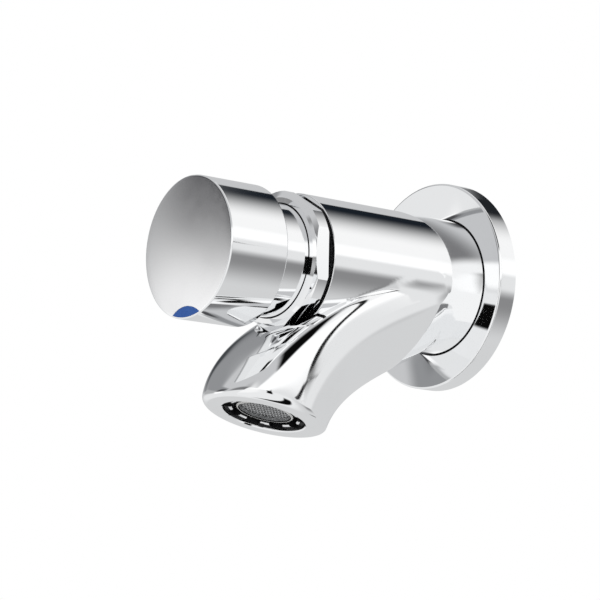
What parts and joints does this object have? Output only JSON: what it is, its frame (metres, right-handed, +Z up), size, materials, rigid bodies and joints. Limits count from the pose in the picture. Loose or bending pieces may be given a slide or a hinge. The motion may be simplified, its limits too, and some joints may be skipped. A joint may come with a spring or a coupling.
{
  "type": "push timed tap",
  "caption": "Wall-mounted self-closing basin tap: chrome body with a curved spout, hex-collared head, push button and notched aerator.",
  "frame": {"origin": "on the axis of the tap's body and inlet, in the plane of the wall", "axes": "+Y goes into the wall along the inlet, -Y points at the user, +Z is up, +X is to the right of the user facing the wall"},
  "size_m": [0.064, 0.1159, 0.0831],
  "materials": {
    "chrome": "mirror polished chrome plate on brass",
    "button_chrome": "polished chrome side with a satin face",
    "aerator_metal": "polished",
    "brass": "turned, bare",
    "spring_steel": "drawn stainless wire",
    "steel_mesh": "woven or pierced stainless",
    "rubber": "moulded black rubber",
    "foam_rubber": "soft sponge rubber",
    "pale_plastic": "moulded acetal",
    "aerator_plastic": "moulded light grey plastic",
    "blue_enamel": "blue enamel inlay"
  },
  "bodies": {
    "tap": {"wall_flange": "chrome", "flange_gasket": "foam_rubber", "tap_body": "chrome", "inlet_nipple": "brass", "nipple_washer": "rubber", "inlet_strainer": "steel_mesh", "flow_regulator": "pale_plastic", "valve_seat": "brass", "head_collar": "chrome", "collar_gasket": "rubber", "head_o_ring": "rubber", "guide_bush": "pale_plastic", "stem_o_ring": "rubber", "spring_cage": "pale_plastic", "return_spring": "spring_steel", "aerator_housing": "aerator_metal", "aerator_seal": "rubber", "aerator_insert": "aerator_plastic", "aerator_screen": "steel_mesh"},
    "plunger": {"push_button": "button_chrome", "cold_mark": "blue_enamel", "button_nut": "brass", "stem": "brass", "piston": "pale_plastic", "piston_seal": "rubber", "timing_screw": "brass", "piston_clip": "spring_steel", "valve_washer": "rubber", "valve_disc": "brass", "valve_nut": "brass"}
  },
  "joints": [
    {"name": "button_press", "type": "slide", "parent": "tap", "child": "plunger", "axis": [0, 1, 0], "range_m": [0, 0.008], "stiffness_N_per_m": 1200, "deforming": ["return_spring"]}
  ]
}
